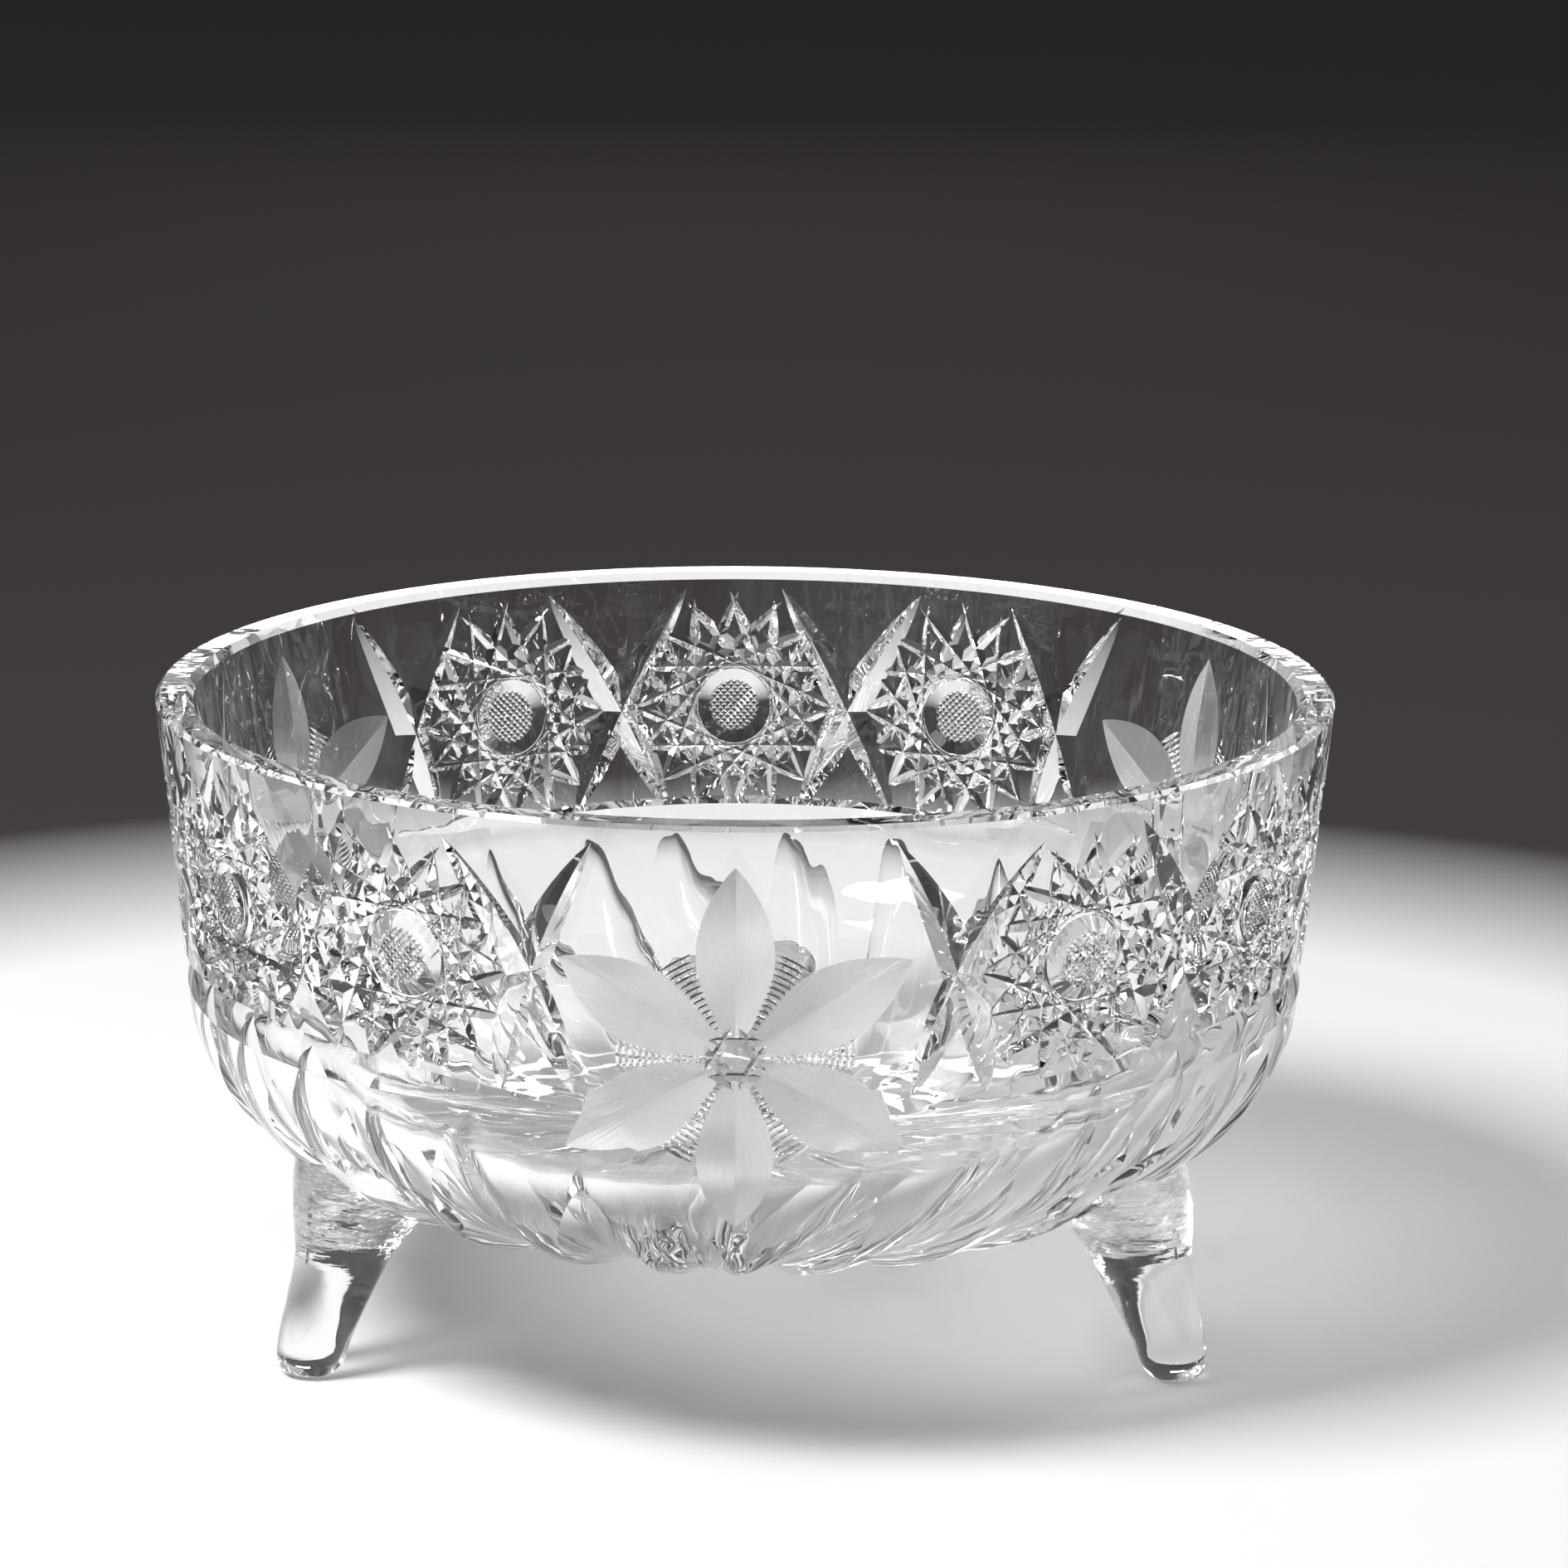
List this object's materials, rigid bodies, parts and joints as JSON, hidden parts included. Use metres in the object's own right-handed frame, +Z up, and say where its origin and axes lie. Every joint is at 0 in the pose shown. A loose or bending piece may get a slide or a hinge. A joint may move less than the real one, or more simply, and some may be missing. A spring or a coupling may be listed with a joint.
{
  "type": "punch bowl",
  "caption": "Footed hand-cut crystal punch bowl: flared round bowl with star medallions, frosted flowers and a swag groove, standing on splayed solid glass feet.",
  "frame": {"origin": "on the floor plane under the bowl's axis, level with the ground pads of the feet", "axes": "+Z up along the bowl's axis of revolution; -Y is the front, where one flower sits between the two front feet; +X is to the viewer's right"},
  "size_m": [0.2198, 0.2198, 0.12],
  "materials": {
    "crystal": "hand-cut and polished colourless lead crystal, with frosted petals",
    "foot_crystal": "fire-polished colourless lead crystal, slightly uneven"
  },
  "bodies": {
    "root": {"bowl": "crystal", "foot_front_left": "foot_crystal", "foot_front_right": "foot_crystal", "foot_rear": "foot_crystal"}
  },
  "joints": []
}
